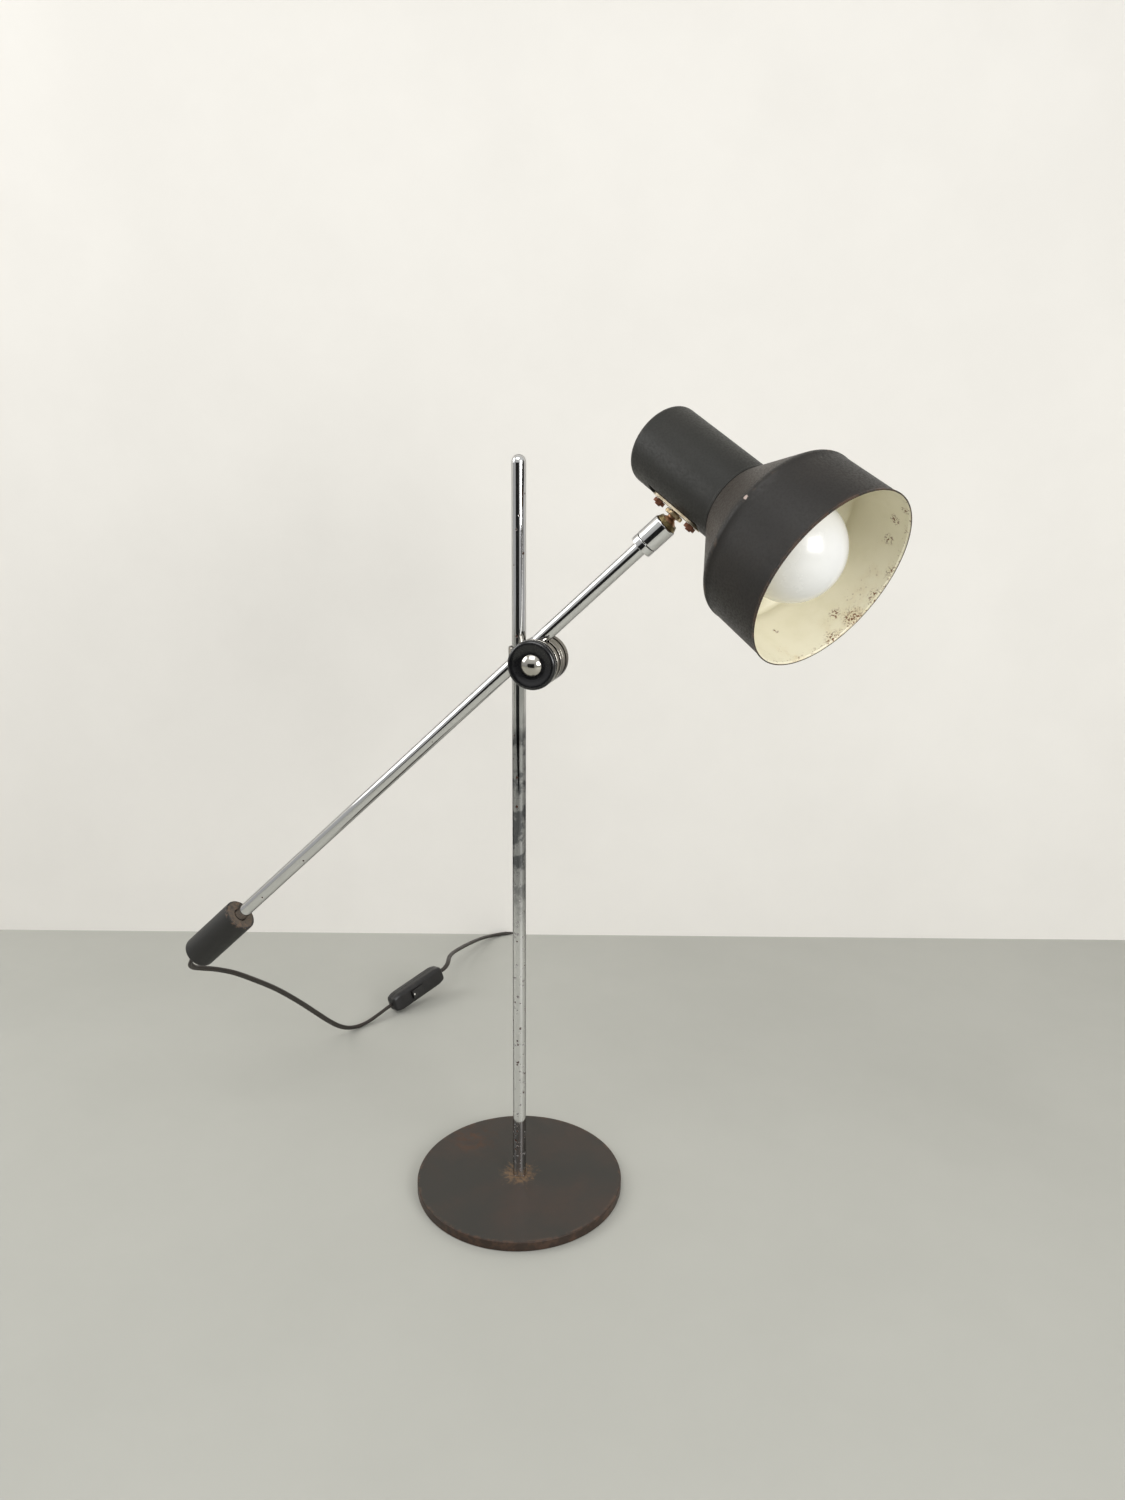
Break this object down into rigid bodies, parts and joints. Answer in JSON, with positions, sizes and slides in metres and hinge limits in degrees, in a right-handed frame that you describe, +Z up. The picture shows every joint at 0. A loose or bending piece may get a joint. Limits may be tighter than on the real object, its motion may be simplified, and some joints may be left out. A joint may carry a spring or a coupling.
{
  "type": "counterbalanced desk lamp",
  "caption": "Work lamp on a round steel base: chromed pole with a friction clamp, a slanted counterweighted arm and a bell shade on a ball swivel, with a lead, inline switch and plug.",
  "frame": {"origin": "centre of the base's underside, on the felt that rests on the table", "axes": "+Z up along the pole; the arm lies in a plane along X with the shade towards +X; the clamp's knob faces -Y"},
  "size_m": [0.5482, 0.6719, 0.6053],
  "materials": {
    "base_steel": "worn dark paint with rust at the rim",
    "felt": "felt",
    "chrome": "chrome with rust pits",
    "nickel": "dull nickel plate",
    "rusty_steel": "rusted",
    "brass": "tarnished",
    "bakelite": "polished",
    "black_paint": "matt",
    "shade_paint": "matt charcoal outside, pale enamel inside",
    "opal_glass": "white opal",
    "rubber": "matt",
    "black_plastic": "satin"
  },
  "bodies": {
    "base": {"base_felt": "felt", "base_disc": "base_steel", "cord_hanging": "rubber", "cord_floor": "rubber", "cord_coil": "rubber", "plug_relief": "black_plastic", "plug_body": "black_plastic", "plug_pin_1": "nickel", "plug_pin_2": "nickel", "switch_front": "black_plastic", "switch_back": "black_plastic", "switch_screw_1": "nickel", "switch_screw_2": "nickel", "rocker_pin": "nickel"},
    "column": {"pole": "chrome", "pole_cap": "chrome", "pole_washer": "rusty_steel", "pole_nut": "rusty_steel"},
    "clamp": {"pole_clamp": "chrome", "clamp_bolt": "nickel"},
    "clamp_knob": {"knob": "bakelite", "knob_insert": "brass", "knob_dome": "chrome"},
    "jaws": {"jaw_rear": "chrome", "jaw_front": "chrome"},
    "arm": {"arm_tube": "chrome", "arm_flex": "rubber", "ferrule_collar": "chrome", "counterweight": "black_paint", "cord_grommet": "rubber"},
    "swivel": {"swivel_sleeve": "chrome", "swivel_lip": "brass"},
    "stud": {"ball_stud": "rusty_steel", "lock_nut": "rusty_steel"},
    "head": {"bracket_plate": "nickel", "bracket_screw_1": "rusty_steel", "bracket_nut_1": "rusty_steel", "bracket_screw_2": "rusty_steel", "bracket_nut_2": "rusty_steel", "stud_nut": "nickel", "head_flex": "rubber", "neck_cover": "shade_paint", "shade": "shade_paint", "lampholder_strap": "nickel", "lampholder_nipple": "brass", "nipple_nut": "brass", "lampholder_cap": "bakelite", "lampholder_body": "bakelite", "lampholder_shell": "brass", "lampholder_contact": "brass", "bulb_glass": "opal_glass", "bulb_cap": "nickel", "bulb_insulator": "bakelite", "bulb_contact": "brass"},
    "rocker": {"switch_rocker": "black_plastic"}
  },
  "joints": [
    {"name": "pole_turn", "type": "hinge", "parent": "base", "child": "column", "pos_m": [0, 0, 0.008], "axis": [0, 0, 1], "range_deg": [-180, 180], "deforming": ["cord_hanging"]},
    {"name": "clamp_height", "type": "slide", "parent": "column", "child": "clamp", "axis": [0, 0, 1], "range_m": [-0.145, 0.125], "deforming": ["cord_hanging"]},
    {"name": "knob_turn", "type": "hinge", "parent": "clamp", "child": "clamp_knob", "pos_m": [0.0176, -0.0255, 0.4332], "axis": [0, -1, 0], "range_deg": [0, 360]},
    {"name": "arm_tilt", "type": "hinge", "parent": "clamp", "child": "jaws", "pos_m": [0.0176, -0.0145, 0.4332], "axis": [0, -1, 0], "range_deg": [-75, 15], "deforming": ["cord_hanging"]},
    {"name": "arm_slide", "type": "slide", "parent": "jaws", "child": "arm", "axis": [0.7285, 0, 0.685], "range_m": [-0.03, 0.25], "deforming": ["cord_hanging"]},
    {"name": "sleeve_turn", "type": "hinge", "parent": "arm", "child": "swivel", "pos_m": [0.10586, -0.0145, 0.52999], "axis": [0.7285, 0, 0.685], "range_deg": [-60, 120]},
    {"name": "stud_tilt", "type": "hinge", "parent": "swivel", "child": "stud", "pos_m": [0.10586, -0.0145, 0.52999], "axis": [-0.5213, -0.6488, 0.5544], "range_deg": [-37, 13]},
    {"name": "head_turn", "type": "hinge", "parent": "stud", "child": "head", "pos_m": [0.10586, -0.0145, 0.52999], "axis": [0.6182, 0.1608, 0.7694], "range_deg": [-45, 145]},
    {"name": "rocker_tip", "type": "hinge", "parent": "base", "child": "rocker", "pos_m": [-0.19693, 0.25558, 0.01767], "axis": [-0.2603, -0.1131, 0.9589], "range_deg": [-12, 0]}
  ]
}
